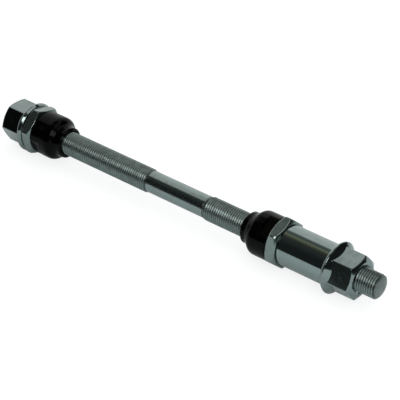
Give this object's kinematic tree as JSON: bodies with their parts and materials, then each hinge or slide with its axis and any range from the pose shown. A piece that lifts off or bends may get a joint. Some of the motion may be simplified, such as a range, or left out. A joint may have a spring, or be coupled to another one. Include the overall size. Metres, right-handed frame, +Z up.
{
  "type": "bicycle hub axle",
  "caption": "Threaded bicycle hub axle with black bearing cones, chromed locknuts, a spacer sleeve on one side and flange nuts at both ends.",
  "frame": {"origin": "middle of the rod's length, on its axis", "axes": "+X along the rod towards the tip that sticks out, +Z up as the axle lies on a level surface"},
  "size_m": [0.179, 0.0198, 0.0198],
  "materials": {
    "plated_axle": "zinc plated, satin",
    "black_cone": "black oxide, semi-gloss",
    "chromed_locknut": "chromed, satin",
    "chromed_sleeve": "chromed, polished",
    "chromed_nut": "chromed, polished"
  },
  "bodies": {
    "rod": {"axle": "plated_axle"},
    "left_cone_body": {"left_cone": "black_cone"},
    "left_locknut_body": {"left_locknut": "chromed_locknut"},
    "right_cone_body": {"right_cone": "black_cone"},
    "right_locknut_body": {"right_locknut": "chromed_locknut"},
    "sleeve_body": {"spacer_sleeve": "chromed_sleeve"},
    "right_nut_body": {"right_flange_nut": "chromed_nut"},
    "left_nut_body": {"left_flange_nut": "chromed_nut"}
  },
  "joints": [
    {"name": "left_cone_travel", "type": "slide", "parent": "rod", "child": "left_cone_body", "axis": [1, 0, 0], "range_m": [0, 0.0417]},
    {"name": "left_locknut_turn", "type": "hinge", "parent": "left_cone_body", "child": "left_locknut_body", "pos_m": [-0.0749, 0, 0], "axis": [1, 0, 0], "range_deg": [0, 15370]},
    {"name": "right_cone_travel", "type": "slide", "parent": "rod", "child": "right_cone_body", "axis": [-1, 0, 0], "range_m": [0, 0.0186]},
    {"name": "right_locknut_turn", "type": "hinge", "parent": "right_cone_body", "child": "right_locknut_body", "pos_m": [0.0464, 0, 0], "axis": [-1, 0, 0], "range_deg": [0, 6855]},
    {"name": "sleeve_travel", "type": "slide", "parent": "rod", "child": "sleeve_body", "axis": [1, 0, 0], "range_m": [0, 0.0205]},
    {"name": "right_nut_turn", "type": "hinge", "parent": "sleeve_body", "child": "right_nut_body", "pos_m": [0.0752, 0, 0], "axis": [1, 0, 0], "range_deg": [0, 7555]},
    {"name": "left_nut_travel", "type": "slide", "parent": "rod", "child": "left_nut_body", "axis": [-1, 0, 0], "range_m": [0, 0.0127]}
  ],
  "couplings": [
    {"joint": "left_locknut_turn", "follows": "left_cone_travel", "rad_per_m": 6431.6},
    {"joint": "right_locknut_turn", "follows": "right_cone_travel", "rad_per_m": 6431.6},
    {"joint": "right_nut_turn", "follows": "sleeve_travel", "rad_per_m": 6431.6}
  ]
}
